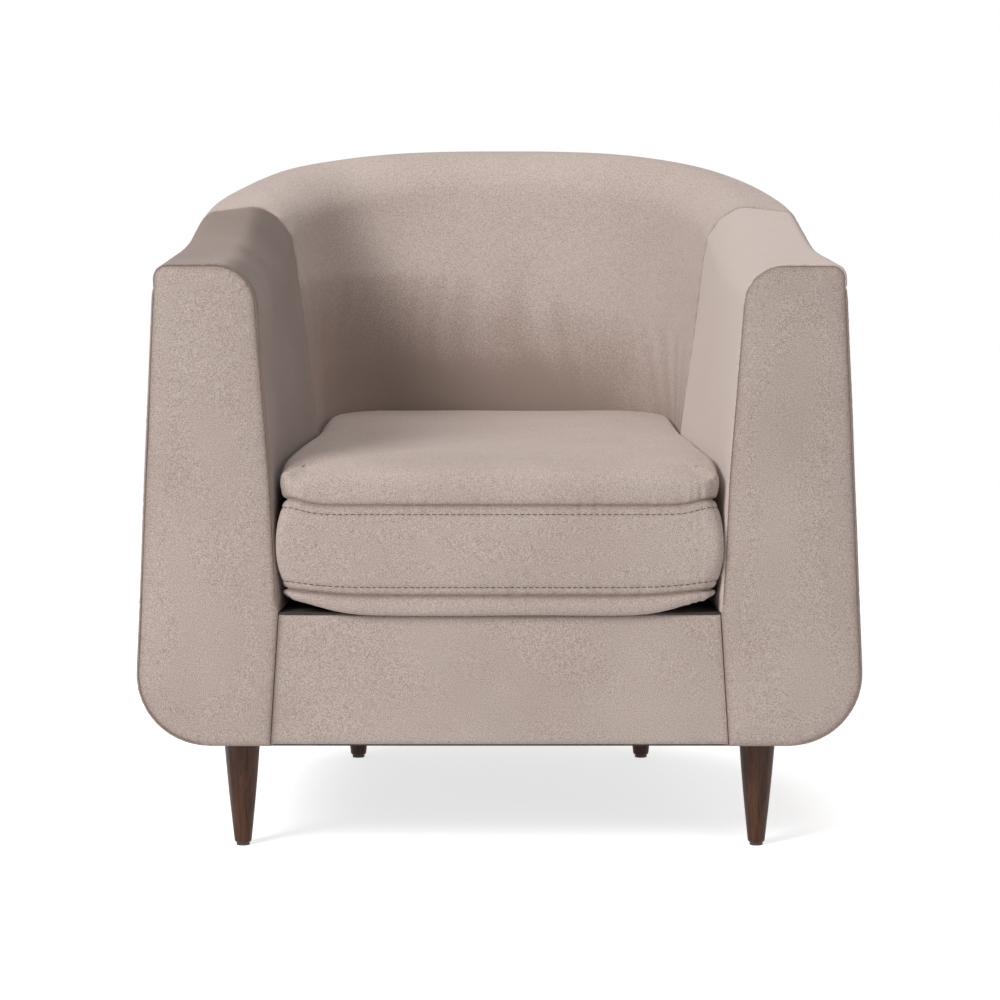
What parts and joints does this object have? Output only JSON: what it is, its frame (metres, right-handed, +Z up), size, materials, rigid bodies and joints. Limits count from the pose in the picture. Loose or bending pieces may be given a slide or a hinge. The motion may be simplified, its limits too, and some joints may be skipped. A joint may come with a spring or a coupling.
{
  "type": "armchair",
  "caption": "Low tub armchair in velvet: curved back flowing into the arms, loose boxed seat cushion, tapered walnut legs.",
  "frame": {"origin": "on the floor, under the middle of the chair's overall box", "axes": "+Z up, the front of the seat faces -Y, +X to the right as seen from the front"},
  "size_m": [0.8, 0.705, 0.748],
  "materials": {
    "velvet": "short-pile velvet",
    "foam": "open-cell foam",
    "wadding": "polyester wadding",
    "fibreboard": "raw fibreboard",
    "plywood": "raw plywood",
    "frame_wood": "planed hardwood",
    "steel": "zinc plated",
    "deck_fabric": "plain woven cloth",
    "black_nonwoven": "spun polypropylene",
    "walnut": "satin lacquered walnut",
    "nylon": "moulded nylon",
    "zip_tape": "woven tape with nylon coil",
    "zip_metal": "antique nickel"
  },
  "bodies": {
    "tub": {"left_outside_arm_cover": "velvet", "left_inside_arm_cover": "velvet", "right_outside_arm_cover": "velvet", "right_inside_arm_cover": "velvet", "outside_back_cover": "velvet", "inside_back_cover": "velvet", "left_arm_front_panel": "velvet", "right_arm_front_panel": "velvet", "front_apron_cover": "velvet", "left_arm_foam": "foam", "right_arm_foam": "foam", "back_foam": "foam", "apron_pad": "foam", "deck_pad": "foam", "left_arm_front_wadding": "wadding", "right_arm_front_wadding": "wadding", "left_outside_arm_liner": "fibreboard", "right_outside_arm_liner": "fibreboard", "right_back_liner": "fibreboard", "centre_back_liner": "fibreboard", "left_back_liner": "fibreboard", "left_arm_front_board": "plywood", "right_arm_front_board": "plywood", "curved_base_rail": "plywood", "back_top_rail": "plywood", "left_arm_top_rail": "plywood", "right_arm_top_rail": "plywood", "front_rail": "frame_wood", "left_side_rail": "frame_wood", "right_side_rail": "frame_wood", "rear_spring_rail": "frame_wood", "front_left_corner_block": "frame_wood", "front_right_corner_block": "frame_wood", "right_back_post": "frame_wood", "right_rear_post": "frame_wood", "centre_back_post": "frame_wood", "left_rear_post": "frame_wood", "left_back_post": "frame_wood", "seat_springs": "steel", "spring_clips": "steel", "leg_hanger_bolts": "steel", "leg_tee_nuts": "steel", "deck_cloth": "deck_fabric", "dust_cover": "black_nonwoven", "front_left_leg": "walnut", "front_right_leg": "walnut", "back_left_leg": "walnut", "back_right_leg": "walnut", "front_left_glide": "nylon", "front_right_glide": "nylon", "back_left_glide": "nylon", "back_right_glide": "nylon"},
    "seat_cushion": {"cushion_top_panel": "velvet", "cushion_bottom_panel": "velvet", "cushion_boxing": "velvet", "cushion_zip_boxing": "velvet", "cushion_foam_core": "foam", "zip_chain": "zip_tape"},
    "slider": {"zip_slider": "zip_metal"},
    "pull": {"zip_pull": "zip_metal"}
  },
  "joints": [
    {"name": "cushion_lift_off", "type": "slide", "parent": "tub", "child": "seat_cushion", "axis": [0, 0, 1], "range_m": [0, 0.48]},
    {"name": "zip_slide", "type": "slide", "parent": "seat_cushion", "child": "slider", "axis": [1, 0, 0], "range_m": [0, 0.236]},
    {"name": "zip_pull_hinge", "type": "hinge", "parent": "slider", "child": "pull", "pos_m": [-0.118, 0.1683, 0.347], "axis": [1, 0, 0], "range_deg": [0, 40]}
  ]
}
